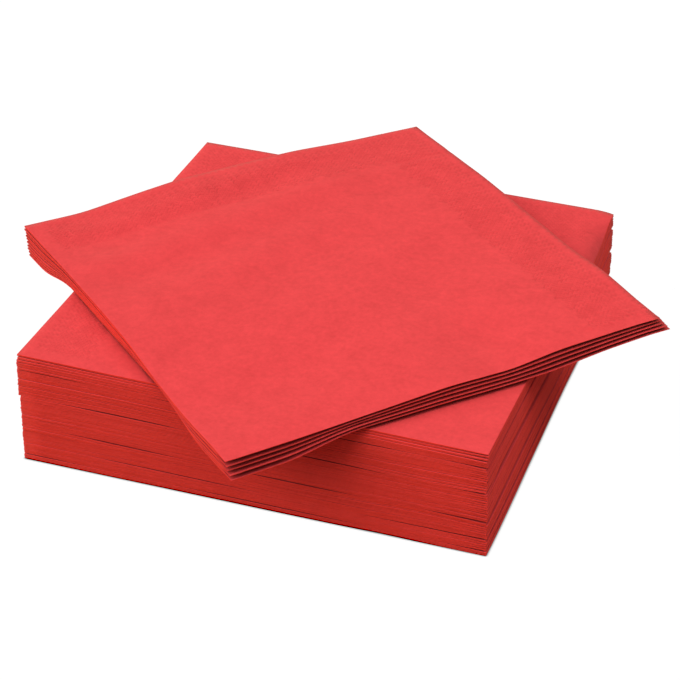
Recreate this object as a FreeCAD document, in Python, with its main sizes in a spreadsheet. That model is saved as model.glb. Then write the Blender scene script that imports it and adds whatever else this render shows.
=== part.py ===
import FreeCAD, Part

import math
import os
from types import SimpleNamespace

import Sketcher

# A square stack of paper napkins, each one sheet folded in four, with a small turned pile on its top.
# Millimetres, +Z up. The origin is the middle of the face that the stack rests on. In every napkin
# the first fold is along the front (-Y) side and the second fold along the right (+X) side, so the
# back and the left side show the sheet's four loose leaves.

SIZES = (
    ("side", 200, "side of a folded napkin, half the side of its open sheet"),
    ("leaf", 0.25, "thickness of one leaf, three plies of tissue"),
    ("leaf_gap", 0.02, "gap between two leaves of a pressed napkin"),
    ("rest_gap", 0.04, "gap between one napkin and the napkin that it lies on"),
    ("crease", 0.15, "flat that is pressed along each side of a fold's nose"),
    ("stack_count", 45, "napkins in the square stack"),
    ("lower_count", 28, "napkins under the step that shows on the stack's left side"),
    ("lower_right", 0.5, "how far the napkins under that step lie to the right"),
    ("upper_left", 1.2, "how far the napkins over that step lie to the left"),
    ("slip_across", 0.35, "most that one napkin lies to the left or right of its place"),
    ("slip_along", 0.3, "most that one napkin lies in front of or behind its place"),
    ("slip_turn", 0.1, "most that one napkin is turned in its place, in degrees"),
    ("pile_count", 5, "napkins in the turned pile"),
    ("pile_turn", -41.8, "turn of the pile on the stack, in degrees"),
    ("pile_across", 1.1, "how far the top napkin's middle is to the right of the stack's"),
    ("pile_along", -4, "how far the top napkin's middle is behind the stack's"),
    ("pile_slip_across", 0.75, "how far to the right a pile napkin lies from the one on it"),
    ("pile_slip_along", 0.25, "how far behind the one on it a pile napkin lies"),
    ("loose_gap", 0.18, "gap between leaves and between napkins that nothing presses"),
    ("bend_start", 4, "overhang past the stack's side at which a napkin starts to bend"),
    ("bend_strip", 10, "width of each flat strip between two bend lines"),
    ("bend_reach", 40, "overhang past the stack's side at which the droops are measured"),
    ("left_droop", 1.7, "droop of the top napkin at the left corner"),
    ("left_fan", 3.8, "how much more the lowest napkin droops there than the top one"),
    ("front_droop", 2.8, "droop of the pile at the front corner"),
    ("back_droop", 2.2, "droop of the pile at the back corner"),
    ("right_lift", 1.4, "rise of the top napkin at the right corner"),
    ("right_press", 0.5, "how much more the lowest napkin rises there than the top one"),
)


def make_sheet(doc):
    """The spreadsheet that holds the driving dimensions, one named cell for each."""
    sheet = doc.addObject("Spreadsheet::Sheet", "Sizes")
    for row, (alias, value, meaning) in enumerate(SIZES, start=1):
        sheet.set(f"A{row}", alias)
        sheet.set(f"B{row}", str(value))
        sheet.set(f"C{row}", meaning)
        sheet.setAlias(f"B{row}", alias)
    doc.recompute()
    return sheet


def read_sizes(sheet):
    """The sheet's values under their own names, with counts as whole numbers."""
    sizes = SimpleNamespace(**{alias: float(sheet.get(alias)) for alias, _, _ in SIZES})
    sizes.stack_count = round(sizes.stack_count)
    sizes.pile_count = round(sizes.pile_count)
    return sizes


def own_plane(body, role):
    """The body's own origin plane with this role."""
    return next(plane for plane in body.Origin.OriginFeatures if plane.Role == role)


def make_outline(body, name, role, offset, corners):
    """A sketch of one closed polygon on a plane of the body, moved by a formula along its normal.

    Each corner is a pair of formulas, measured from the plane's own origin.
    """
    sketch = body.newObject("Sketcher::SketchObject", name)
    sketch.AttachmentSupport = (own_plane(body, role), "")
    sketch.MapMode = "FlatFace"
    sketch.setExpression("AttachmentOffset.Base.z", offset)
    count = len(corners)
    turns = [2 * math.pi * i / count for i in range(count)]
    rough = [FreeCAD.Vector(math.cos(turn), math.sin(turn), 0) for turn in turns]
    for i in range(count):
        sketch.addGeometry(Part.LineSegment(rough[i], rough[(i + 1) % count]))
    for i in range(count):
        sketch.addConstraint(Sketcher.Constraint("Coincident", i, 2, (i + 1) % count, 1))
    for i, (across, up) in enumerate(corners):
        start = rough[i]
        for kind, place, formula in (("DistanceX", start.x, across), ("DistanceY", start.y, up)):
            number = sketch.addConstraint(Sketcher.Constraint(kind, -1, 1, i, 1, place))
            sketch.setExpression(f"Constraints[{number}]", formula)
    return sketch


def make_pocket(body, name, sketch, length, reverse):
    """A pocket of a formula's length, along the sketch's normal if reverse is set, else against it."""
    pocket = body.newObject("PartDesign::Pocket", name)
    pocket.Profile = sketch
    pocket.Reversed = reverse
    pocket.setExpression("Length", length)
    return pocket


def folded_edges(block, sizes):
    """Names of the long edges over and under the two folded sides, the front and the right one."""
    names = []
    for number, edge in enumerate(block.Edges, start=1):
        middle = edge.BoundBox.Center
        upright = edge.BoundBox.ZLength > sizes.leaf
        on_fold = middle.x > sizes.side / 2 - sizes.leaf or middle.y < sizes.leaf - sizes.side / 2
        if on_fold and not upright:
            names.append(f"Edge{number}")
    return names


def make_napkin(doc, label, gap, sizes):
    """One sheet folded in four: leaves joined in pairs at the front, and the pairs at the right.

    The block of four leaves is parted by a slot between the outer and the inner leaves, which turns
    with them round the second fold, and by a slit between the two inner leaves.
    """
    thick = f"(4 * Sizes.leaf + 3 * {gap})"
    half = "Sizes.side / 2"
    inner_end = f"({half} - Sizes.leaf - {gap})"
    body = doc.addObject("PartDesign::Body", label)
    body.Label = label

    square = make_outline(
        body,
        f"{label}_outline",
        "XY_Plane",
        "0",
        ((f"-{half}", f"-{half}"), (half, f"-{half}"), (half, half), (f"-{half}", half)),
    )
    block = body.newObject("PartDesign::Pad", f"{label}_block")
    block.Profile = square
    block.setExpression("Length", thick)
    doc.recompute()

    noses = body.newObject("PartDesign::Chamfer", f"{label}_noses")
    noses.Base = (block, folded_edges(block.Shape, sizes))
    noses.setExpression("Size", "Sizes.crease")

    slot = make_outline(
        body,
        f"{label}_slot_outline",
        "XZ_Plane",
        f"{half} - Sizes.leaf",
        (
            (f"-{half}", "Sizes.leaf"),
            (f"{half} - Sizes.leaf", "Sizes.leaf"),
            (f"{half} - Sizes.leaf", f"{thick} - Sizes.leaf"),
            (f"-{half}", f"{thick} - Sizes.leaf"),
            (f"-{half}", f"{thick} - Sizes.leaf - {gap}"),
            (inner_end, f"{thick} - Sizes.leaf - {gap}"),
            (inner_end, f"Sizes.leaf + {gap}"),
            (f"-{half}", f"Sizes.leaf + {gap}"),
        ),
    )
    make_pocket(body, f"{label}_slot", slot, "Sizes.side", False)

    slit = make_outline(
        body,
        f"{label}_slit_outline",
        "YZ_Plane",
        f"-{half}",
        (
            (f"-{half}", f"({thick} - {gap}) / 2 - Sizes.crease"),
            (f"-{half} + Sizes.crease", f"({thick} - {gap}) / 2"),
            (half, f"({thick} - {gap}) / 2"),
            (half, f"({thick} + {gap}) / 2"),
            (f"-{half} + Sizes.crease", f"({thick} + {gap}) / 2"),
            (f"-{half}", f"({thick} + {gap}) / 2 + Sizes.crease"),
        ),
    )
    body.Tip = make_pocket(
        body, f"{label}_slit", slit, f"{half} + {inner_end} - Sizes.leaf", True
    )
    return body


def slip(step, number):
    """A steady, uneven share from -1 to 1 for this napkin, so that no two lie exactly alike."""
    return math.sin(step * number) * math.cos(step * number / 3)


def make_stack_napkin(doc, number, sizes):
    """One napkin of the square stack, counted from the bottom, a little out of line."""
    body = make_napkin(doc, f"stack_napkin_{number:02d}", "Sizes.leaf_gap", sizes)
    bundle = f"(Sizes.lower_count < {number} ? -Sizes.upper_left : Sizes.lower_right)"
    across = f"{bundle} + Sizes.slip_across * {slip(2.4, number):.3f}"
    body.setExpression("Placement.Base.x", across)
    body.setExpression("Placement.Base.y", f"Sizes.slip_along * {slip(3.7, number):.3f}")
    step = "(4 * Sizes.leaf + 3 * Sizes.leaf_gap + Sizes.rest_gap)"
    body.setExpression("Placement.Base.z", f"{number - 1} * {step}")
    body.setExpression("Placement.Rotation.Angle", f"Sizes.slip_turn * {slip(1.9, number):.3f}")
    return body


def corner_bends(sizes, share):
    """For each overhanging corner, the way that it points and its droop.

    The share is 0 for the lowest napkin of the pile and 1 for the top one.
    """
    below = 1 - share
    return (
        (FreeCAD.Vector(-1, 0, 0), sizes.left_droop + sizes.left_fan * below),
        (FreeCAD.Vector(0, -1, 0), sizes.front_droop),
        (FreeCAD.Vector(0, 1, 0), sizes.back_droop),
        (FreeCAD.Vector(1, 0, 0), -sizes.right_lift - sizes.right_press * below),
    )


def bend_lines(sizes):
    """Distances past the stack's side at which a drooping corner is bent, out to past its tip."""
    slips = sizes.pile_count * (abs(sizes.pile_slip_across) + abs(sizes.pile_slip_along))
    moved = abs(sizes.pile_across) + abs(sizes.pile_along) + slips
    tip = sizes.side * (math.sqrt(2) - 1) / 2 + moved
    count = math.ceil((tip - sizes.bend_start) / sizes.bend_strip)
    return [sizes.bend_start + sizes.bend_strip * i for i in range(count + 1)]


def droop_at(sizes, lines, past):
    """How far a corner's droop has grown at a distance past the side, as a share of the whole.

    It grows with the square of the distance at the bend lines, and evenly between two of them.
    """

    def grown(line):
        return ((line - sizes.bend_start) / (sizes.bend_reach - sizes.bend_start)) ** 2

    if past <= lines[0]:
        return 0.0
    strip = min(int((past - lines[0]) / sizes.bend_strip), len(lines) - 2)
    near, far = lines[strip], lines[strip + 1]
    return grown(near) + (grown(far) - grown(near)) * (past - near) / (far - near)


def scored(flat, sizes, lines):
    """The flat napkin in one piece, with its faces parted along every bend line."""
    reach = sizes.side
    half = sizes.side / 2
    box = flat.BoundBox
    edge = half + lines[0]
    middle = Part.makeBox(
        2 * edge, 2 * edge, 2 * box.ZLength, FreeCAD.Vector(-edge, -edge, box.ZMin - box.ZLength / 2)
    )
    pieces = [flat.common(middle)]
    for turn in range(4):
        for near, far in zip(lines, lines[1:]):
            strip = Part.makeBox(
                far - near,
                2 * reach,
                2 * box.ZLength,
                FreeCAD.Vector(half + near, -reach, box.ZMin - box.ZLength / 2),
            )
            strip.rotate(FreeCAD.Vector(0, 0, 0), FreeCAD.Vector(0, 0, 1), 90 * turn)
            pieces.append(flat.common(strip))
    pieces = [piece for piece in pieces if piece.Solids]
    return pieces[0].multiFuse(pieces[1:])


def bent(flat, move):
    """The same solid with each corner of its flat faces moved."""
    faces = []
    for face in flat.Faces:
        wires = []
        for wire in [face.OuterWire] + [w for w in face.Wires if not w.isSame(face.OuterWire)]:
            points = [move(vertex.Point) for vertex in wire.OrderedVertexes]
            wires.append(Part.makePolygon(points + points[:1]))
        faces.append(Part.Face(wires))
    shell = Part.makeShell(faces)
    shell.sewShape()
    solid = Part.makeSolid(shell)
    return solid if solid.Volume > 0 else solid.reversed()


def make_top_napkin(doc, number, loose, sizes):
    """One napkin of the turned pile, counted from the bottom, its corners bent over the stack's sides.

    It lies on the napkins below it in the middle. Past the stack's sides, each corner bends along
    lines parallel to the side that it hangs over.
    """
    above = sizes.pile_count - number
    across = sizes.pile_across + sizes.pile_slip_across * above
    along = sizes.pile_along + sizes.pile_slip_along * above
    seat = FreeCAD.Placement(
        FreeCAD.Vector(across, along, 0), FreeCAD.Rotation(FreeCAD.Vector(0, 0, 1), sizes.pile_turn)
    )
    flat = loose.Shape.copy()
    flat.Placement = seat
    lines = bend_lines(sizes)
    bends = corner_bends(sizes, (number - 1) / max(sizes.pile_count - 1, 1))

    def move(point):
        drop = sum(
            droop * droop_at(sizes, lines, point.dot(way) - sizes.side / 2) for way, droop in bends
        )
        return FreeCAD.Vector(point.x, point.y, point.z - drop)

    napkin = doc.addObject("Part::Feature", f"top_napkin_{number}")
    napkin.Label = f"top_napkin_{number}"
    napkin.Shape = bent(scored(flat, sizes, lines), move)
    stack_step = 4 * sizes.leaf + 3 * sizes.leaf_gap + sizes.rest_gap
    pile_step = 4 * (sizes.leaf + sizes.loose_gap)
    height = sizes.stack_count * stack_step - sizes.rest_gap + sizes.loose_gap
    napkin.Placement = FreeCAD.Placement(
        FreeCAD.Vector(0, 0, height + (number - 1) * pile_step), FreeCAD.Rotation()
    )
    return napkin


def check(doc, napkins):
    """Stops if a feature has failed or a napkin isn't one sound solid."""
    failed = [o.Label for o in doc.Objects if "Invalid" in o.State or "Error" in o.State]
    if failed:
        raise RuntimeError(f"failed features: {failed}")
    for napkin in napkins:
        shape = napkin.Shape
        if shape.isNull() or not shape.isValid() or len(shape.Solids) != 1:
            raise RuntimeError(f"{napkin.Label} isn't one valid solid")


def main():
    doc = FreeCAD.newDocument("napkin_stack")
    sizes = read_sizes(make_sheet(doc))
    napkins = [make_stack_napkin(doc, i + 1, sizes) for i in range(sizes.stack_count)]
    loose = make_napkin(doc, "loose_napkin", "Sizes.loose_gap", sizes)
    doc.recompute()
    napkins += [make_top_napkin(doc, i + 1, loose, sizes) for i in range(sizes.pile_count)]
    doc.recompute()
    check(doc, napkins)
    os.makedirs("parts", exist_ok=True)
    for napkin in napkins:
        napkin.Shape.exportStep(f"parts/{napkin.Label}.step")
        print(napkin.Label, round(napkin.Shape.Volume, 1), napkin.Shape.BoundBox)


main()
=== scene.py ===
"""A square stack of red paper napkins with five more lying turned on its top, in a white studio.

Every napkin is one sheet of tissue folded in four. Its mesh is worked out in the napkin's own
millimetres, with the middle of the folded square at the origin, the first fold along the front (-Y)
side, the second fold along the right (+X) side and the loose edges at the left and the back. The
stack and the pile then each lay it in its place, and the mesh is written in metres.
"""

import math

import bpy
import numpy as np
from bpy.props import FloatProperty, IntProperty, PointerProperty, StringProperty
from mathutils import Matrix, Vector


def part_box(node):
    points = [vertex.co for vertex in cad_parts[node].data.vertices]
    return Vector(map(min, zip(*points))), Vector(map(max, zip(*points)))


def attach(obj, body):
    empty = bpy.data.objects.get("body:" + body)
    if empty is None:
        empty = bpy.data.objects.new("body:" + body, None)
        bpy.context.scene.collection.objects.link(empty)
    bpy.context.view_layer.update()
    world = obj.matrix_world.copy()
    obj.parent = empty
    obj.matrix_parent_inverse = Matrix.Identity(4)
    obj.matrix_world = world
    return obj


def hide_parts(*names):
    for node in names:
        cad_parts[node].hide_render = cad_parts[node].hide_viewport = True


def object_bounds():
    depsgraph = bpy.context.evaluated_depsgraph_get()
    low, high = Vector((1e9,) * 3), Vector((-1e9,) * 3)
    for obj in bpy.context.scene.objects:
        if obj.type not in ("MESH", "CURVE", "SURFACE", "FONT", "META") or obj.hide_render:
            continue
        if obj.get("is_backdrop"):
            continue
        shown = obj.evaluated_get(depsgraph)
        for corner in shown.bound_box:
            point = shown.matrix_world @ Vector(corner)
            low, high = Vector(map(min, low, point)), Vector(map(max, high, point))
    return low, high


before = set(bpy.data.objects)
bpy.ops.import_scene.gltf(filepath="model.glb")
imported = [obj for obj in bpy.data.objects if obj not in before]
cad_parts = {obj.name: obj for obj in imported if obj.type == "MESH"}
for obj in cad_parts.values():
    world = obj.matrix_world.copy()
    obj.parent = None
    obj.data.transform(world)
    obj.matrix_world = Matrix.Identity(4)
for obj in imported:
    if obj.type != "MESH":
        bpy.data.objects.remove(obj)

bl_info = {
    "name": "Folded napkin stack",
    "version": (1, 0, 0),
    "blender": (4, 5, 0),
    "location": "3D View > Sidebar > Napkins",
    "description": "Builds a stack of folded tissue napkins, with a turned pile on its top",
    "category": "Add Mesh",
}

MM = 0.001
BODY = "root"
STACK_NODES = sorted(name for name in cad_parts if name.startswith("stack_napkin_"))
PILE_NODES = sorted(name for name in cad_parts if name.startswith("top_napkin_"))
FLOOR_NAME = "Studio_floor"
FLOOR_REACH = 12.0  # metres from the middle
LEAVES = 4


def length(name, description, default):
    """A size of the object, given in millimetres and kept in metres."""
    return FloatProperty(
        name=name, description=description, default=default * MM, unit="LENGTH", precision=5
    )


def angle(name, description, default):
    """An angle, given in degrees."""
    return FloatProperty(
        name=name, description=description, default=math.radians(default), subtype="ANGLE"
    )


def count(name, description, default):
    """A number of mesh cells."""
    return IntProperty(name=name, description=description, default=default, min=1)


def amount(name, description, default):
    """A plain number."""
    return FloatProperty(name=name, description=description, default=default)


def colour(name, description, default):
    """A colour, as an sRGB hex value."""
    return StringProperty(name=name, description=description, default=default)


class NapkinSheet(bpy.types.PropertyGroup):
    """The sheet that every napkin is folded from."""

    side: length("Folded side", "Side of a folded napkin", 200)
    leaf: length("Leaf", "Thickness of one leaf of tissue", 0.16)
    pressed_pitch: length("Pressed pitch", "From leaf to leaf in the stack", 0.27)
    loose_pitch: length("Loose pitch", "From leaf to leaf in the pile", 0.42)
    pressed_pinch: amount("Pressed pinch", "Share that a fold in the stack is thinner", 0.2)
    loose_pinch: amount("Loose pinch", "Share that a fold in the pile is thinner", 0.8)
    covered_cells: count("Covered cells", "Mesh cells across a leaf in the stack", 22)
    lifted_cells: count("Lifted cells", "Mesh cells across a leaf in the pile", 42)
    shown_cells: count("Shown cells", "Mesh cells across a leaf whose face shows", 60)
    fine_share: count("Fine share", "Fine cells across one cell of the border", 6)
    border_cells: count("Border cells", "Width of the embossed border in cells", 9)
    press_depth: length("Press depth", "How deep the pattern is pressed", 0.45)


class StackShape(bpy.types.PropertyGroup):
    """How the square stack has settled."""

    front_left: length("Front left", "Height of that corner", 50.7)
    front_right: length("Front right", "Height of that corner", 48.1)
    back_right: length("Back right", "Height of that corner", 48.5)
    back_left: length("Back left", "Height of that corner", 49.4)
    layer_wave: length("Layer wave", "Height of the waves in the layers", 0.7)
    fold_stray: length("Fold stray", "How far a fold strays in and out", 0.07)
    loose_stray: length("Loose stray", "How far a loose edge strays in and out", 0.1)
    layer_gap: length("Layer gap", "Gap that opens between two napkins at their edges", 0.09)
    bundle_gap: length("Bundle gap", "Gap that opens between two bundles", 1.0)
    bend: length("Bend", "Radius to which the back right edge is bent down", 11)
    bow: length("Bow", "How far the lower front bows out", 0.9)
    lean: length("Lean", "How far the left side leans, out at the front and in at the back", 1.3)
    tuck: length("Tuck", "How far the lower right side stands in at the back", 1.4)
    swell: length("Swell", "How far the back side stands out", 1.4)
    groove: length("Groove", "How far the last napkin of a bundle stands in at the right", 2)
    top_step: length("Top step", "How far each of the last napkins stands in at the front", 0.35)
    lift: length("Lift", "How far the lowest edges lift off the floor", 0.25)
    seed: IntProperty(name="Seed", description="Starts the uneven values", default=11)


class PileShape(bpy.types.PropertyGroup):
    """How the turned pile lies."""

    turn: angle("Turn", "Turn of the pile", -41.8)
    height: length("Height", "Height of its top over the floor", 58.3)
    left_thickness: length("Left thickness", "Thickness at the fanned left corner", 15)
    thickness: length("Thickness", "Thickness of the pressed pile", 8.8)
    front_thickness: length("Front thickness", "Thickness at the front corner", 11.5)
    right_thickness: length("Right thickness", "Thickness at the right corner", 6.6)
    rest_gap: length("Rest gap", "Gap over the stack", 0.2)
    edge_gap: length("Edge gap", "Gap over the stack at the front right", 1.0)
    overhang: length("Overhang", "How far past the stack's side it hangs free of it", 28)
    fold_stray: length("Fold stray", "How far a fold strays in and out", 0.2)
    loose_stray: length("Loose stray", "How far a loose edge strays in and out", 0.25)
    napkin_gap: length("Napkin gap", "Gap that opens between two napkins at their edges", 0.5)
    step: length("Step", "How far each lower napkin stands out at the front corner", -0.3)
    back_step: length("Back step", "How far it stands out at the other corners", 0.15)
    slip: length("Slip", "How far it has slid to the front at the left corner", 0.45)
    face_wave: length("Face wave", "Height of the long waves in the top face", 1.0)
    crease: length("Crease", "Depth of the crease inside the border", 0.2)
    seed: IntProperty(name="Seed", description="Starts the uneven values", default=5)


class PaperColours(bpy.types.PropertyGroup):
    """Colours of the dyed tissue and of the studio."""

    tissue: colour("Tissue", "Dyed tissue", "EC4548")
    # Also the colour that the embossed dents are drawn towards: painted shade in the dents.
    dense: colour("Dense", "Tissue where the fibres lie dense", "A8181C")
    # Painted light: the stronger red along the folds stands in for red bounce light on the folded
    # sides.
    fold: colour("Fold", "Tissue along a fold, which shows its dye through more layers", "FF340E")
    # Painted shade: the dark red that the tissue takes where it is closed in, between the leaves
    # and in crevices.
    deep: colour("Deep", "Tissue between the leaves, where it is lit through the dye", "5A0408")
    fuzz: colour("Fuzz", "Light that the loose fibres catch", "FFC0A0")
    glow: colour("Glow", "Light of the studio floor and its surroundings", "FFFFFF")
    floor: colour("Floor", "Studio floor, as it lights the napkins from below", "868686")
    shade: colour("Shade", "Studio floor, as the camera sees it under its glow", "303030")


class StudioView(bpy.types.PropertyGroup):
    """Where the camera stands, and how strong the light is."""

    azimuth: angle("Azimuth", "Turn of the view", 19.56)
    elevation: angle("Elevation", "Height of the view over the floor", 32.5)
    distance: length("Distance", "From the camera to its aim", 1061.7)
    aim_across: length("Aim across", "Aim to the right of the middle", 3.64)
    aim_height: length("Aim height", "Height of the aim", 20.66)
    lens: amount("Lens", "Focal length in millimetres", 128.8)
    sky_light: amount("Sky light", "Strength of the even light from all sides", 0.38)
    overhead_light: amount("Overhead light", "Strength of the lamp overhead", 1.2)
    key_light: amount("Key light", "Strength of the lamp at the front left", 1.85)


def smooth(value, start, end):
    """Rises from 0 at start to 1 at end, level at both ends (3t^2 - 2t^3)."""
    share = np.clip((value - start) / (end - start), 0.0, 1.0)
    return share * share * (3 - 2 * share)


def wander(along, draw, size, shortest=35.0, longest=260.0):
    """A slow uneven line: four sines of drawn lengths, phases and shares, at most size high."""
    lengths = np.geomspace(shortest, longest, 4) * draw.uniform(0.8, 1.25, 4)
    phases = draw.uniform(0, 2 * math.pi, 4)
    shares = draw.uniform(0.3, 1.0, 4) * np.sqrt(lengths)
    shares = size * shares / shares.sum()
    return sum(s * np.sin(2 * math.pi * along / w + p) for s, w, p in zip(shares, lengths, phases))


def through(knots, share):
    """A soft line through knots of (share, value): the straight one, averaged over a tenth."""
    places, values = np.array(knots).T
    steps = np.linspace(-0.2, 1.2, 561)
    line = np.interp(steps, places, values)
    line += np.minimum(steps, 0) * (values[1] - values[0]) / (places[1] - places[0])
    line += np.maximum(steps - 1, 0) * (values[-1] - values[-2]) / (places[-1] - places[-2])
    bell = np.hanning(43)
    return np.interp(share, steps, np.convolve(line, bell / bell.sum(), mode="same"))


# The folded sheet ------------------------------------------------------------------------------


def fold_stations(side, cells, radius, pinch, run, turns=6):
    """One way across a sheet folded in two: along one leaf, round the fold and back on the other.

    Each station has a place on the leaf, the share of the fold's radius that it stands out past
    the leaf's end, the share that it stands up, 1 on the upper leaf and -1 on the lower one, and
    the share that the leaves keep of their distance, which falls by pinch over the last run
    millimetres. Between the leaves the nose is a blunt half round: the cosine and the sine of its
    angle, to the power 0.8. The last cell before it is divided, so that the leaf runs into it
    softly.
    """
    blunt = 0.8
    before_nose = np.array([2.4, 1.6, 0.8, 0.0])
    end = side / 2 - radius * (1 - pinch)
    leaf = np.linspace(-side / 2, end, cells + 1)
    leaf = np.concatenate([leaf[:-1], end - before_nose])
    turned = np.linspace(math.pi / 2, -math.pi / 2, turns + 1)[1:-1]
    level = np.zeros(len(leaf))
    place = np.concatenate([leaf, np.full(turns - 1, end), leaf[::-1]])
    out = np.concatenate([level, np.cos(turned) ** blunt, level])
    nose = np.sign(np.sin(turned)) * np.abs(np.sin(turned)) ** blunt
    up = np.concatenate([level + 1, nose, level - 1])
    return place, out, up, 1 - pinch * smooth(place, end - run, end)


def sheet_face(second, first, pitch, offset):
    """One face of the folded sheet, over the grid of both folds' stations.

    The first fold lays one leaf on the other, so a point stands offset * up from the middle of its
    pair. The second fold turns the pair round the right side: there the radius is the pitch plus
    that height, and the point stands radius * up from the middle of the napkin. Both heights are
    pinched towards their fold. Columns: x, y, the height in leaves over the napkin's underside, and
    both ups.
    """
    place2, out2, up2, keep2 = (v[:, None] for v in second)
    place1, out1, up1, keep1 = (v[None, :] for v in first)
    radius = (pitch + offset * up1 * keep1) * keep2
    x = place2 + radius * out2
    y = -(place1 + offset * keep1 * out1) + 0 * place2
    level = LEAVES / 2 + radius * up2 / pitch
    return np.stack([x, y, level, up2 + 0 * x, up1 + 0 * x], axis=-1).reshape(-1, 5)


def grid_quads(index, turn_over):
    """The quads of a grid of point numbers, in the other order for the face that looks up."""
    quads = np.stack([index[:-1, :-1], index[1:, :-1], index[1:, 1:], index[:-1, 1:]], axis=-1)
    quads = quads.reshape(-1, 4)
    return quads[:, ::-1] if turn_over else quads


def rim_quads(one, other):
    """The quads between two lines of point numbers, along a cut edge of the sheet."""
    return np.stack([one[:-1], one[1:], other[1:], other[:-1]], axis=-1)


def fine_border(corner, first_free, fine, border):
    """Divides the cells of the top face's border into fine ones.

    corner holds the point numbers of the face's plain grid. A plain cell beside a fine one becomes
    a fan about its middle, which takes up the fine points on that side, so the face stays closed.
    Returns the new points, as their two places counted in cells, and the quads and triangles.
    """
    cells = corner.shape[0] - 1
    row, column = np.indices((cells, cells))
    near, far = np.minimum(row, column), np.maximum(row, column)
    split = (near >= 1) & (near < border) & (far < cells - 1)

    fine_cells = np.pad(np.kron(split, np.ones((fine, fine), bool)), 1)
    used = fine_cells[:-1, :-1] | fine_cells[:-1, 1:] | fine_cells[1:, :-1] | fine_cells[1:, 1:]
    number = np.full(used.shape, -1)
    number[::fine, ::fine] = corner
    fresh = used & (number < 0)
    number[fresh] = first_free + np.arange(fresh.sum())
    places = [np.argwhere(fresh) / fine]
    quads = [grid_quads(number, True)[fine_cells[1:-1, 1:-1].ravel()]]

    beside = np.pad(split, 1)
    neighbours = [beside[:-2, 1:-1], beside[1:-1, 2:], beside[2:, 1:-1], beside[1:-1, :-2]]
    fan = ~split & np.any(neighbours, axis=0)
    middle = first_free + fresh.sum() + np.arange(fan.sum())
    places.append(np.argwhere(fan) + 0.5)
    quads.append(grid_quads(corner, True)[~(split | fan).ravel()])

    triangles = []
    starts = [(0, 0), (0, 1), (1, 1), (1, 0)]
    for neighbour, start, end in zip(neighbours, starts, starts[1:] + starts[:1]):
        for is_fine, steps in ((True, np.arange(fine + 1)), (False, np.array([0, fine]))):
            chosen = neighbour[fan] == is_fine
            cell = np.argwhere(fan)[chosen]
            side = [
                (cell[:, axis, None] + start[axis]) * fine + (end[axis] - start[axis]) * steps
                for axis in (0, 1)
            ]
            points = number[side[0], side[1]]
            peak = np.repeat(middle[chosen, None], len(steps) - 1, axis=1)
            triangles.append(np.stack([points[:, :-1], points[:, 1:], peak], -1).reshape(-1, 3))
    return np.concatenate(places), np.concatenate(quads), np.concatenate(triangles)


def emboss(across, along):
    """How deep the border is pressed, 0 to 1, by its fine cells from the edge and along it.

    The rows run at 45 degrees to the edge, four diagonals of the fine cells apart, which is 1.6 mm.
    Fields, where the product of a cosine over seven rows and one along them is high, have rows of
    short dashes, and there is a rim of dashes alone near the edge. Between the fields the rows are
    round dots. Each row is a step on from the last. A mark is a cone, deepest at its middle.
    """
    spacing, rim, mark = 4, 17, 1.8
    dash_step, dash_half = 12, 3.2
    row, run = along - across, along + across
    line = np.round(row / spacing)
    fields = np.cos(2 * math.pi * (line + 1) / 7) * np.cos(2 * math.pi * run / 52)
    dashed = (fields > 0.15) | (across < rim)

    def off_middle(step, shift):
        place = run + shift
        return np.abs(place - np.round(place / step) * step)

    off_row = row - spacing * line
    past_dash = off_middle(dash_step, dash_step / 3 * (line % 3)) - dash_half
    dash = np.hypot(off_row, np.maximum(past_dash, 0.0))
    dot = np.hypot(off_row, off_middle(spacing, spacing / 2 * (line % 2)))
    return 1 - np.clip(np.where(dashed, dash, dot) / mark, 0, 1)


def pressed_border(places, sheet):
    """How deep, in millimetres, the pattern lies at places counted in cells from the two edges.

    The pattern follows the nearer of the two loose edges. It starts four millimetres in, is faint
    up to ten and ends on a line of small waves at 28. At the far end it stops short of the fold.
    """
    near, far = places.min(axis=1), places.max(axis=1)
    across = near * sheet.side / MM / sheet.shown_cells
    before_fold = sheet.shown_cells - far
    end = 28.4 + 1.1 * np.sin(far * 2 * math.pi / 2.6)
    band = smooth(across, 3.5, 5) * (1 - smooth(across, end - 0.4, end + 0.4))
    band *= (0.4 + 0.6 * smooth(across, 9, 11)) * smooth(before_fold, 1.8, 2.4)
    fine = sheet.fine_share
    return sheet.press_depth / MM * band * emboss(np.round(near * fine), np.round(far * fine))


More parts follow.
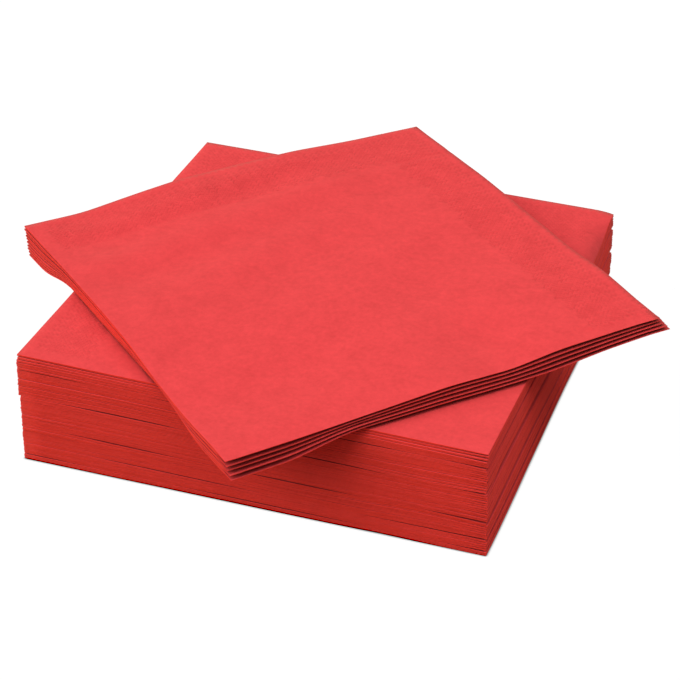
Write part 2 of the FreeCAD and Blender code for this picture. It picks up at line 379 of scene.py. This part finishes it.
def folded_sheet(sheet, cells, pitch, pinch, embossed=False):
    """A napkin folded in four, as points, the depth pressed in at each, and its faces.

    The outer and the inner face of the sheet are one grid each, half a leaf to either side of its
    middle. Rims along the four cut edges close them.
    """
    side, leaf = sheet.side / MM, sheet.leaf / MM
    outer_offset, inner_offset = (pitch + leaf) / 2, (pitch - leaf) / 2
    run = 4 + 10 * pinch
    second = fold_stations(side, cells, pitch + outer_offset, pinch, run)
    first = fold_stations(side, cells, outer_offset, pinch / 4, run)
    points = np.concatenate(
        [sheet_face(second, first, pitch, offset) for offset in (outer_offset, inner_offset)]
    )
    outer = np.arange(len(points) // 2).reshape(len(second[0]), len(first[0]))
    inner = outer + outer.size
    quads = [grid_quads(outer, True), grid_quads(inner, False)]
    triangles = np.zeros((0, 3), int)
    rims = np.concatenate(
        [
            rim_quads(inner[0], outer[0]),
            rim_quads(outer[-1], inner[-1]),
            rim_quads(outer[:, 0], inner[:, 0]),
            rim_quads(inner[:, -1], outer[:, -1]),
        ]
    )
    dents = np.zeros(len(points))
    if embossed:
        corner = outer[:cells, :cells]
        plain = np.ones((outer.shape[0] - 1, outer.shape[1] - 1), bool)
        plain[: cells - 1, : cells - 1] = False
        fresh, fine_quads, triangles = fine_border(
            corner, len(points), sheet.fine_share, sheet.border_cells
        )
        quads = [quads[0][plain.ravel()], quads[1], fine_quads]
        steps = np.arange(cells)
        added = np.tile(points[corner[0, 0]], (len(fresh), 1))
        added[:, 0] = np.interp(fresh[:, 0], steps, points[corner[:, 0], 0])
        added[:, 1] = np.interp(fresh[:, 1], steps, points[corner[0], 1])
        shown = np.concatenate([corner.ravel(), len(points) + np.arange(len(added))])
        points = np.concatenate([points, added])
        dents = np.zeros(len(points))
        plain_places = np.argwhere(np.ones_like(corner))
        dents[shown] = pressed_border(np.concatenate([plain_places, fresh]), sheet)
    return points, dents, np.concatenate(quads), triangles, rims


def stray_edges(points, half, draw, fold, loose):
    """Moves the edges of a napkin in and out along slow uneven lines.

    A move fades out over forty millimetres from its edge. Where four leaves end, each strays a
    little from the others, by the signs that say which leaf a point is on. The far end of the
    second fold stands out to a tip.
    """
    fade = 40.0
    x, y, _, up2, up1 = points.T
    left, right = 1 - smooth(x + half, 0, fade), 1 - smooth(half - x, 0, fade)
    front, back = 1 - smooth(y + half, 0, fade), 1 - smooth(half - y, 0, fade)
    leaves = [(up2, 0.6), (up1, 0.35), (up1 * up2, 0.25)]
    move_x = right * (draw.normal(0, fold / 3) + wander(y, draw, fold))
    move_x += left * (draw.normal(0, loose / 3) + wander(y, draw, loose))
    move_x += left * sum(
        share * up * (draw.normal(0, loose / 2) + wander(y, draw, loose)) for up, share in leaves
    )
    tip = (1 - smooth(half - y, 0, 12)) * (1 - smooth(half - x, 0, 30))
    move_x += draw.uniform(0, 4 * fold) * tip
    move_y = front * (draw.normal(0, fold / 3) + wander(x, draw, fold))
    move_y += front * up2 * (draw.normal(0, fold / 4) + wander(x, draw, fold / 2))
    move_y += back * (draw.normal(0, loose / 3) + wander(x, draw, loose))
    move_y += back * sum(
        share * up * (draw.normal(0, loose / 2) + wander(x, draw, loose)) for up, share in leaves
    )
    return x + move_x, y + move_y


def turned(x, y, turn):
    """The places x, y turned about the origin."""
    return x * math.cos(turn) - y * math.sin(turn), x * math.sin(turn) + y * math.cos(turn)


def paper_shades(points, dents, sheet, draw):
    """The values at each point that the paper's colour reads.

    The first value is the napkin's own tone, lowered by the share of the full depth that is pressed
    in: painted shade in the dents of the embossing. fold is 0 on a leaf and 1 at the middle of a
    fold's nose, where the product of both ups is 0.
    """
    return {
        # The napkin's own tone, lowered in the dents: painted shade in the embossing.
        "tone_and_dent_shade": draw.normal(0, 0.15) - dents / (sheet.press_depth / MM),
        "fold": 1 - np.abs(points[:, 3] * points[:, 4]),
    }


def add_piece(name, node, places, faces, shades):
    """Makes the mesh of one napkin, and sets it in the frame in place of its CAD node.

    places are in millimetres. The faces of the cut rims come last and are shaded flat. shades names
    a value for each point that the paper's colour reads.
    """
    quads, triangles, rims = faces
    sizes = np.repeat([4, 3, 4], [len(quads), len(triangles), len(rims)])
    corners = np.concatenate([quads.ravel(), triangles.ravel(), rims.ravel()])
    mesh = bpy.data.meshes.new(name)
    mesh.vertices.add(len(places))
    mesh.vertices.foreach_set("co", (places * MM).astype(np.float32).ravel())
    mesh.loops.add(len(corners))
    mesh.loops.foreach_set("vertex_index", corners.astype(np.int32))
    mesh.polygons.add(len(sizes))
    mesh.polygons.foreach_set("loop_start", (np.cumsum(sizes) - sizes).astype(np.int32))
    mesh.update(calc_edges=True)
    cut = mesh.attributes.new("sharp_face", "BOOLEAN", "FACE")
    cut.data.foreach_set("value", np.arange(len(sizes)) >= len(sizes) - len(rims))
    for shade, values in shades.items():
        attribute = mesh.attributes.new(shade, "FLOAT", "POINT")
        attribute.data.foreach_set("value", values.astype(np.float32))
    mesh.materials.append(bpy.data.materials.get("dyed_tissue") or dyed_tissue())
    piece = bpy.data.objects.new(name, mesh)
    bpy.context.scene.collection.objects.link(piece)
    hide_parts(node)
    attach(piece, BODY)
    return piece


def middle_of(node):
    """The middle of a CAD node in millimetres."""
    low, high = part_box(node)
    return np.array((low + high) / 2) / MM


# The stack and the pile ------------------------------------------------------------------------

STACK_HALF = 100.0
# The napkins that a bundle ends with, counted from the bottom, and the share of the full gap there.
BUNDLE_ENDS = {2: 0.7, 7: 0.7, 15: 0.8, 28: 1.0, 39: 0.7, 42: 0.4, 43: 0.3, 44: 0.3}
# Those of them that stand in at the right side.
GROOVES = (7, 15, 28, 39)


def stack_height(shape, x, y):
    """Height of the stack's top: a twisted plane through its four corners."""
    u, v = (np.clip((c + STACK_HALF) / (2 * STACK_HALF), -0.1, 1.1) for c in (x, y))
    front = shape.front_left * (1 - u) + shape.front_right * u
    back = shape.back_left * (1 - u) + shape.back_right * u
    return (front * (1 - v) + back * v) / MM


def edge_bend(shape, x, y):
    """How far the stack's top is bent down along the back half of its right edge.

    It is a round of the bend's radius r over the last 0.9 r, as long as its slope is under 4/3, and
    goes on straight from there.
    """
    radius = shape.bend / MM
    past = np.maximum(x - (STACK_HALF - 0.9 * radius), 0)
    on_round = np.minimum(past, 0.8 * radius)
    drop = radius - np.sqrt(radius**2 - on_round**2) + (past - on_round) * 4 / 3
    return smooth(y, -30, 30) * (1 - 0.8 * smooth(y, 78, 99)) * drop


def settled(shape, x, y, share):
    """Where a point of a straight stack stands in the settled one; share is its height's.

    The lower front bows out, the back stands out and the left side leans. The right side stands in
    at the lower back, out at the lower front and in at the top's back corner.
    """
    low = 1 - share
    left, right = 1 - smooth(x, -STACK_HALF, 0), smooth(x, 0, STACK_HALF)
    move = left * shape.lean / MM * (0.9 * y / STACK_HALF - 0.1)
    move -= right * shape.tuck / MM * low * (smooth(y, -60, 40) - 0.6 * smooth(-y, 30, STACK_HALF))
    move -= right * smooth(y, 60, STACK_HALF) * share**4
    bow = shape.bow / MM * low * (1 - 0.4 * smooth(x, 0, STACK_HALF)) * smooth(-y, 30, STACK_HALF)
    return x + move, y - bow + shape.swell / MM * smooth(y, 50, STACK_HALF)


def layer_gaps(shape, draw):
    """The gaps over each napkin of the stack but the last: size, wave numbers and phase.

    A gap opens and closes along the edges by a slow wave. It is wider where one bundle ends.
    """
    number = len(STACK_NODES) - 1
    sizes = shape.layer_gap / MM * draw.uniform(0.2, 1.6, number)
    for napkin, share in BUNDLE_ENDS.items():
        sizes[napkin - 1] = share * shape.bundle_gap / MM
    waves = 2 * math.pi / draw.uniform(60, 240, (number, 2)) * draw.choice([-1, 1], (number, 2))
    return sizes, waves, draw.uniform(0, 2 * math.pi, number)


def layer_bases(draw):
    """Undersides of the napkins, as shares of the stack's height, from uneven thicknesses."""
    thickness = draw.uniform(0.92, 1.08, len(STACK_NODES))
    return np.concatenate([[0], np.cumsum(thickness)]) / thickness.sum()


def stack_places(shape, gaps, bases, number, x, y, level):
    """Heights of a napkin's points in the stack.

    The share of the stack under a point times the height of the stack there, plus a slow wave that
    drifts from layer to layer, and a shorter one in the right half, plus half of every gap's width
    at the edges: upwards from the gaps below and downwards from those above, less with the distance
    from the gap. The lowest edges lift off the floor a little, in waves.
    """
    share = bases[number] + (bases[number + 1] - bases[number]) * level / LEAVES
    top = stack_height(shape, x, y) - edge_bend(shape, x, y)
    wave = np.sin(x / 31 + 5 * share) * np.cos(y / 37 - 4 * share)
    wave += 0.5 * np.sin(y / 19 + 9 * share)
    wave += 0.45 * np.sin(x / 12 + y / 14 + 9 * share) * smooth(x, -10, 90)
    height = share * top + shape.layer_wave / MM * wave * share * (1 - share) * 2.5
    edge = smooth(np.maximum(np.abs(x), np.abs(y)), STACK_HALF - 30, STACK_HALF)
    at_right = smooth(x, STACK_HALF - 25, STACK_HALF) * (0.4 + 0.6 * smooth(y, -STACK_HALF, -70))
    reach, open_layer = 5.0, 1.3
    spread = np.zeros_like(height)
    for below, (size, (wave_x, wave_y), phase) in enumerate(zip(*gaps)):
        open_share = np.clip(0.4 + 0.8 * np.sin(wave_x * x + wave_y * y + phase), 0, 1)
        width = size * (0.6 * open_share + (1.3 - 0.4 * open_share) * at_right)
        away = np.abs(share - bases[below + 1]) * top
        side = 1 if number > below else -1
        spread += side * width / 2 * np.exp(-away / reach)
    room = np.clip((1 - share) * top / open_layer, 0, 1) * np.clip(share * top / open_layer, 0, 1)
    off_corner = smooth(np.hypot(x - STACK_HALF, y + STACK_HALF), 8, 45)
    uneven = 0.75 + 0.25 * np.sin(x / 17 + y / 23) + 1.6 * np.exp(-(((x - 58) / 17) ** 2))
    lift = shape.lift / MM * edge * off_corner * uneven * (1 - share) ** 8
    return height + edge * room * spread + lift


# Heights in millimetres along the four sides of the pile's top, each from the left or the front.
PILE_BACK_LEFT = (
    (0, 57.4), (0.14, 56.4), (0.28, 58.9), (0.38, 60.6), (0.66, 60.2), (0.84, 57.6), (1, 56.4)
)
PILE_BACK_RIGHT = (
    (0, 56.4), (0.12, 57.3), (0.3, 58.4), (0.68, 58.4), (0.8, 60.2), (0.92, 59.1), (1, 59.7)
)
PILE_FRONT_RIGHT = ((0, 54.8), (0.26, 55.5), (0.5, 57.7), (0.64, 56.4), (0.76, 59.1), (1, 59.7))
PILE_FRONT_LEFT = (
    (0, 57.2), (0.12, 57.8), (0.3, 58.5), (0.54, 58.2), (0.68, 55.0), (0.8, 53.2), (1, 54.8)
)


def pile_top(shape, x, y):
    """Height of the pile's top over its own square, x and y in millimetres from its middle.

    Soft lines run along the four sides, and from each of them the height eases over to the level
    middle of the pile. Where two sides meet, their shares are taken together once. Long waves run
    along the back left side.
    """
    half, middle = STACK_HALF, shape.height / MM
    u, v = (np.clip((c + half) / (2 * half), 0, 1) for c in (x, y))
    ease = 0.55
    near = {"x0": 1 - smooth(u, 0, ease), "x1": smooth(u, 1 - ease, 1)}
    near.update({"y0": 1 - smooth(v, 0, ease), "y1": smooth(v, 1 - ease, 1)})
    height = middle + near["x0"] * (through(PILE_BACK_LEFT, v) - middle)
    height += near["x1"] * (through(PILE_FRONT_RIGHT, v) - middle)
    height += near["y0"] * (through(PILE_FRONT_LEFT, u) - middle)
    height += near["y1"] * (through(PILE_BACK_RIGHT, u) - middle)
    corners = {
        ("x0", "y0"): (PILE_BACK_LEFT, 0),
        ("x0", "y1"): (PILE_BACK_LEFT, 1),
        ("x1", "y0"): (PILE_FRONT_RIGHT, 0),
        ("x1", "y1"): (PILE_FRONT_RIGHT, 1),
    }
    for (one, other), (line, end) in corners.items():
        height -= near[one] * near[other] * (through(line, end) - middle)
    inside = smooth(np.minimum(np.minimum(u, 1 - u), np.minimum(v, 1 - v)), 0, 0.12)
    drift = x + 10 * np.sin(y / 45)
    at_left = (1 - smooth(u, 0.1, 0.55)) * (1 - smooth(v, 0.4, 0.95))
    wave = np.sin(2 * math.pi * drift / 34) * at_left
    wave += 0.35 * np.sin(2 * math.pi * (drift + 0.3 * y) / 52)
    crease = np.exp(-(((x + half - 30 - 1.5 * np.sin(y / 40)) / 1.6) ** 2)) * smooth(v, 0.05, 0.2)
    return height + inside * shape.face_wave / MM * wave - shape.crease / MM * crease


def pile_thickness(shape, x, y):
    """Thickness of the hanging parts, by powers of the shares of the way across the pile.

    They are fanned at the left corner, open a little at the front one and pressed at the right one.
    """
    u, v = (np.clip((c + STACK_HALF) / (2 * STACK_HALF), 0, 1) for c in (x, y))
    fanned = (shape.left_thickness - shape.thickness) * (1 - smooth(u, 0, 0.7)) * (1 - v) ** 4.5
    opened = (shape.front_thickness - shape.thickness) * (u * (1 - v)) ** 1.5
    pressed = (shape.thickness - shape.right_thickness) * (u * v) ** 3
    return (shape.thickness + fanned + opened - pressed) / MM


def pile_places(shape, stack, number, gaps, centre, x, y, level):
    """Heights of a napkin's points in the pile, from their places in the frame.

    The underside lies on the stack. Past its sides it goes over to hanging free, by the pile's
    thickness under its top. A point stands at its share of the way from there to the top, plus half
    of the gaps that open between the napkins, most at the folded side.
    """
    own_x, own_y = turned(x - centre[0], y - centre[1], -shape.turn)
    top = pile_top(shape, own_x, own_y)
    past = np.maximum(np.abs(x), np.abs(y)) - STACK_HALF
    hanging = smooth(past, 0, shape.overhang / MM)
    resting = stack_height(stack, x, y) + shape.rest_gap / MM
    resting += shape.edge_gap / MM * smooth(own_x, STACK_HALF - 18, STACK_HALF)
    under = resting * (1 - hanging) + (top - pile_thickness(shape, own_x, own_y)) * hanging
    share = (LEAVES * number + level) / (LEAVES * len(PILE_NODES))
    edge = smooth(np.maximum(np.abs(own_x), np.abs(own_y)), STACK_HALF - 35, STACK_HALF)
    at_fold = smooth(own_x, STACK_HALF - 12, STACK_HALF)
    spread = np.zeros_like(top)
    for below, (size, phase) in enumerate(gaps):
        width = size * (0.65 + 0.35 * np.sin(own_x / 23 + own_y / 29 + phase))
        width = width * (0.1 + 0.9 * at_fold)
        side = 1 if number > below else -1
        spread += side * width / 2 * np.exp(-np.abs(share - (below + 1) / len(PILE_NODES)) * 4)
    room = np.clip((1 - share) * 5, 0, 1) * np.clip(share * 5, 0, 1)
    return under + (top - under) * share + edge * room * spread


class MESH_OT_napkin_stack(bpy.types.Operator):
    """Adds the square stack of folded napkins"""

    bl_idname = "mesh.napkin_stack"
    bl_label = "Add the stack"

    def execute(self, context):
        scene = context.scene
        sheet, shape = scene.napkin_sheet, scene.napkin_stack
        draw = np.random.default_rng(shape.seed)
        gaps, bases = layer_gaps(shape, draw), layer_bases(draw)
        pitch, half = sheet.pressed_pitch / MM, sheet.side / MM / 2
        for number, node in enumerate(STACK_NODES):
            shown = node == STACK_NODES[-1]
            cells = sheet.shown_cells if shown else sheet.covered_cells
            points, dents, *faces = folded_sheet(sheet, cells, pitch, sheet.pressed_pinch, shown)
            x, y = stray_edges(points, half, draw, shape.fold_stray / MM, shape.loose_stray / MM)
            x, y = turned(x, y, math.radians(draw.normal(0, 0.05)))
            centre = middle_of(node)
            x, y = x + centre[0] * (0.3 - 0.15 * smooth(x, -half, half)), y + centre[1] / 4
            x, y = settled(shape, x, y, bases[number])
            if number + 1 in GROOVES:
                off_corner = 0.2 + 0.8 * smooth(y, -half, -60)
                x = x - shape.groove / MM * smooth(x, 60, half) * off_corner
            among_last = max(number + 4 - len(STACK_NODES), 0)
            y = y + among_last * shape.top_step / MM * smooth(-y, 40, half)
            z = stack_places(shape, gaps, bases, number, x, y, points[:, 2]) - dents
            places, shades = np.stack([x, y, z], axis=-1), paper_shades(points, dents, sheet, draw)
            name = f"Folded_napkin_{number + 1:02d}"
            piece = add_piece(name, node, places, faces, shades)
        return {"FINISHED"}


class MESH_OT_napkin_pile(bpy.types.Operator):
    """Adds the five napkins that lie turned on the stack"""

    bl_idname = "mesh.napkin_pile"
    bl_label = "Add the turned pile"

    def execute(self, context):
        scene = context.scene
        sheet, shape, stack = scene.napkin_sheet, scene.napkin_pile, scene.napkin_stack
        draw = np.random.default_rng(shape.seed)
        number_of_gaps = len(PILE_NODES) - 1
        gaps = np.stack(
            [
                shape.napkin_gap / MM * draw.uniform(0.5, 1.2, number_of_gaps),
                draw.uniform(0, 2 * math.pi, number_of_gaps),
            ],
            axis=-1,
        )
        pitch, half = sheet.loose_pitch / MM, sheet.side / MM / 2
        top_centre = middle_of(PILE_NODES[-1])
        for number, node in enumerate(PILE_NODES):
            shown = node == PILE_NODES[-1]
            cells = sheet.shown_cells if shown else sheet.lifted_cells
            points, dents, *faces = folded_sheet(sheet, cells, pitch, sheet.loose_pinch, shown)
            x, y = stray_edges(points, half, draw, shape.fold_stray / MM, shape.loose_stray / MM)
            under = len(PILE_NODES) - 1 - number
            out, aside = shape.step / MM - shape.back_step / MM, shape.back_step / MM
            slip = shape.slip / MM
            at_right, at_back = smooth(x, -half, half), smooth(y, -half, half)
            left, front = 1 - at_right, 1 - at_back
            x = x + under * (aside + out * at_right * front)
            y = y - under * (aside + out * at_right * at_back + slip * left * front)
            x, y = turned(x, y, shape.turn + math.radians(draw.normal(0, 0.1)))
            centre = middle_of(node)
            x, y = x + centre[0], y + centre[1]
            z = pile_places(shape, stack, number, gaps, top_centre, x, y, points[:, 2]) - dents
            places, shades = np.stack([x, y, z], axis=-1), paper_shades(points, dents, sheet, draw)
            name = f"Turned_napkin_{number + 1}"
            piece = add_piece(name, node, places, faces, shades)
        return {"FINISHED"}


# Materials, lamps and camera -------------------------------------------------------------------


def linear(hex_value, alpha=1.0):
    """An sRGB hex value as the linear colour that a shader takes."""
    parts = [int(hex_value[i : i + 2], 16) / 255 for i in (0, 2, 4)]
    return [c / 12.92 if c <= 0.04045 else ((c + 0.055) / 1.055) ** 2.4 for c in parts] + [alpha]


def add_node(tree, kind, inputs=(), **settings):
    """Adds a node. inputs maps a socket's name or number to a socket to link, or to a value."""
    node = tree.nodes.new(kind)
    for name, value in settings.items():
        setattr(node, name, value)
    for key, value in dict(inputs).items():
        if isinstance(value, bpy.types.NodeSocket):
            tree.links.new(value, node.inputs[key])
        else:
            node.inputs[key].default_value = value
    return node


def multiply_add(tree, value, factor, added):
    """The output of value * factor + added."""
    return add_node(
        tree, "ShaderNodeMath", {0: value, 1: factor, 2: added}, operation="MULTIPLY_ADD"
    ).outputs[0]


def mixed_colour(tree, share, one, other):
    """The output of one colour going over into the other by the share."""
    inputs = {0: share, 6: one, 7: other}
    return add_node(tree, "ShaderNodeMix", inputs, data_type="RGBA").outputs[2]


def per_mm(size):
    """The Scale of a noise whose blotches are size millimetres wide, on coordinates in metres."""
    return 1 / (size * MM)


def dyed_tissue():
    """Soft red tissue, dyed in the pulp and pressed dry on a cylinder.

    The fibres lie unevenly, so its colour is cloudy over nine millimetres. The crepe's ridges, half
    a millimetre apart, are too fine to show, and are drawn as a grain of 2.2. The paper is fully
    matt. Loose fibres catch a pale light along the edges, which the sheen gives. Along a fold the
    colour goes over to a stronger red, which is painted red bounce light on the folded sides. Where
    a place is closed in within four millimetres, the colour goes over to a deep dark red, which is
    painted shade between the leaves and in the crevices. The dents of the embossing darken the
    colour by their depth, which is painted shade in the dents.
    """
    colours = bpy.context.scene.napkin_colours
    material = bpy.data.materials.new("dyed_tissue")
    material.use_nodes = True
    tree = material.node_tree
    tree.nodes.clear()
    place = add_node(tree, "ShaderNodeTexCoord").outputs["Object"]
    clouds = {"Vector": place, "Scale": per_mm(9), "Detail": 2, "Roughness": 0.6}
    cloud = add_node(tree, "ShaderNodeTexNoise", clouds)
    grains = {"Vector": place, "Scale": per_mm(2.2), "Detail": 3, "Roughness": 0.7}
    grain = add_node(tree, "ShaderNodeTexNoise", grains)
    tone_and_dent_shade = add_node(tree, "ShaderNodeAttribute", attribute_name="tone_and_dent_shade").outputs["Fac"]
    fold = add_node(tree, "ShaderNodeAttribute", attribute_name="fold").outputs["Fac"]
    clouded = multiply_add(tree, cloud.outputs["Fac"], 0.35, 0.5)
    grained = multiply_add(tree, grain.outputs["Fac"], 0.5, clouded)
    # Painted shade: the tone, lowered in the embossed dents, draws the colour towards the dense
    # red.
    toned_with_dent_shade = multiply_add(tree, tone_and_dent_shade, 0.55, grained)
    dye = mixed_colour(tree, toned_with_dent_shade, linear(colours.dense), linear(colours.tissue))
    # Painted red bounce light: along the folds, which make the napkins' sides, the colour goes over
    # to the fold red.
    folded = mixed_colour(tree, multiply_add(tree, fold, 1.2, 0.0), dye, linear(colours.fold))
    # Painted shade: ambient occlusion within four millimetres draws the colour towards the deep
    # dark red.
    open_air_for_painted_shade = add_node(tree, "ShaderNodeAmbientOcclusion", {"Distance": 4 * MM}, samples=4)
    lit = multiply_add(tree, open_air_for_painted_shade.outputs["AO"], 2.2, -0.25)
    seen = mixed_colour(tree, lit, linear(colours.deep), folded)
    height = multiply_add(tree, cloud.outputs["Fac"], 2.0, grain.outputs["Fac"])
    ridges = {"Height": height, "Strength": 0.6, "Distance": 0.15 * MM}
    crepe = add_node(tree, "ShaderNodeBump", ridges)
    paper = add_node(
        tree,
        "ShaderNodeBsdfPrincipled",
        {
            "Base Color": seen,
            "Normal": crepe.outputs[0],
            "Roughness": 0.95,
            "Specular IOR Level": 0.2,
            "Sheen Weight": 0.15,
            "Sheen Roughness": 0.5,
            "Sheen Tint": linear(colours.fuzz),
        },
    )
    add_node(tree, "ShaderNodeOutputMaterial", {"Surface": paper.outputs[0]})
    return material


def studio_paper():
    """Seamless white background paper: matt, and glowing up to full white where the camera sees it.

    The glow fades within the last millimetre beside the stack, where the paper is closed in: this
    is a painted contact shadow. For the light that it throws up onto the napkins it is a plain
    grey.
    """
    colours = bpy.context.scene.napkin_colours
    material = bpy.data.materials.new("studio_background_paper")
    material.use_nodes = True
    tree = material.node_tree
    tree.nodes.clear()
    seen = add_node(tree, "ShaderNodeLightPath").outputs["Is Camera Ray"]
    shade = mixed_colour(tree, seen, linear(colours.floor), linear(colours.shade))
    matt = add_node(tree, "ShaderNodeBsdfDiffuse", {"Color": shade})
    # Painted contact shadow: beside the stack the glow is dimmed by ambient occlusion.
    open_sky = add_node(tree, "ShaderNodeAmbientOcclusion", {"Distance": 1.2 * MM}).outputs["AO"]
    glow_with_painted_contact_shadow = multiply_add(tree, seen, multiply_add(tree, open_sky, 1.5, -0.5), 0.0)
    glow = add_node(tree, "ShaderNodeEmission", {"Color": linear(colours.glow), "Strength": glow_with_painted_contact_shadow})
    lit = add_node(tree, "ShaderNodeAddShader", {0: matt.outputs[0], 1: glow.outputs[0]})
    add_node(tree, "ShaderNodeOutputMaterial", {"Surface": lit.outputs[0]})
    return material


def aimed(obj, place, aim):
    """Stands obj at place with its -Z axis towards aim."""
    obj.location = place
    obj.rotation_euler = (Vector(aim) - Vector(place)).to_track_quat("-Z", "Y").to_euler()
    bpy.context.scene.collection.objects.link(obj)
    return obj


class SCENE_OT_napkin_studio(bpy.types.Operator):
    """Adds the white floor, the soft light and the camera"""

    bl_idname = "scene.napkin_studio"
    bl_label = "Add the studio"

    def execute(self, context):
        scene = context.scene
        view, white = scene.napkin_view, linear(scene.napkin_colours.glow)
        ends = (-FLOOR_REACH, FLOOR_REACH)
        mesh = bpy.data.meshes.new(FLOOR_NAME)
        mesh.from_pydata([(x, y, 0) for y in ends for x in ends], [], [(0, 1, 3, 2)])
        mesh.materials.append(studio_paper())
        floor = bpy.data.objects.new(FLOOR_NAME, mesh)
        scene.collection.objects.link(floor)
        floor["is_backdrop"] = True

        world = bpy.data.worlds.new("Studio")
        world.use_nodes = True
        tree = world.node_tree
        tree.nodes.clear()
        seen = add_node(tree, "ShaderNodeLightPath").outputs["Is Camera Ray"]
        soft = add_node(tree, "ShaderNodeBackground", {"Color": white, "Strength": view.sky_light})
        full = add_node(tree, "ShaderNodeBackground", {"Color": white, "Strength": 1.0})
        both = {0: seen, 1: soft.outputs[0], 2: full.outputs[0]}
        mixed = add_node(tree, "ShaderNodeMixShader", both)
        add_node(tree, "ShaderNodeOutputWorld", {"Surface": mixed.outputs[0]})
        scene.world = world

        for name, strength, softness, place in (
            ("Overhead", view.overhead_light, 70, (0.15, 0.0, 1.0)),
            ("Key", view.key_light, 50, (-0.95, -0.85, 0.85)),
        ):
            lamp = bpy.data.lights.new(name, "SUN")
            lamp.energy = strength
            lamp.angle = math.radians(softness)
            aimed(bpy.data.objects.new(name, lamp), place, (0, 0, 0))

        camera = bpy.data.cameras.new("Camera")
        camera.lens = view.lens
        aim = Vector((view.aim_across, 0, view.aim_height))
        level = Vector((math.sin(view.azimuth), -math.cos(view.azimuth), 0))
        away = level * math.cos(view.elevation)
        away.z = math.sin(view.elevation)
        place = aim + away * view.distance
        scene.camera = aimed(bpy.data.objects.new("Camera", camera), place, aim)
        scene.view_settings.view_transform = "Standard"
        return {"FINISHED"}


class VIEW3D_PT_napkins(bpy.types.Panel):
    """Lists the pieces and the studio"""

    bl_label = "Napkins"
    bl_space_type = "VIEW_3D"
    bl_region_type = "UI"
    bl_category = "Napkins"

    def draw(self, context):
        for operator in (MESH_OT_napkin_stack, MESH_OT_napkin_pile, SCENE_OT_napkin_studio):
            self.layout.operator(operator.bl_idname)
        for name, group in GROUPS.items():
            box = self.layout.box()
            for field in group.__annotations__:
                box.prop(getattr(context.scene, name), field)


GROUPS = {
    "napkin_sheet": NapkinSheet,
    "napkin_stack": StackShape,
    "napkin_pile": PileShape,
    "napkin_colours": PaperColours,
    "napkin_view": StudioView,
}
CLASSES = (
    *GROUPS.values(),
    MESH_OT_napkin_stack,
    MESH_OT_napkin_pile,
    SCENE_OT_napkin_studio,
    VIEW3D_PT_napkins,
)


def register():
    for cls in CLASSES:
        bpy.utils.register_class(cls)
    for name, group in GROUPS.items():
        setattr(bpy.types.Scene, name, PointerProperty(type=group))


def unregister():
    for name in GROUPS:
        delattr(bpy.types.Scene, name)
    for cls in reversed(CLASSES):
        bpy.utils.unregister_class(cls)


def corners():
    """The lowest and the highest corner of all that shows, as plain lists."""
    return [list(corner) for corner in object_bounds()]


def main():
    register()
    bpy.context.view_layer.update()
    bpy.ops.mesh.napkin_stack()
    bpy.ops.mesh.napkin_pile()
    bpy.ops.scene.napkin_studio()


if __name__ == "__main__":
    main()
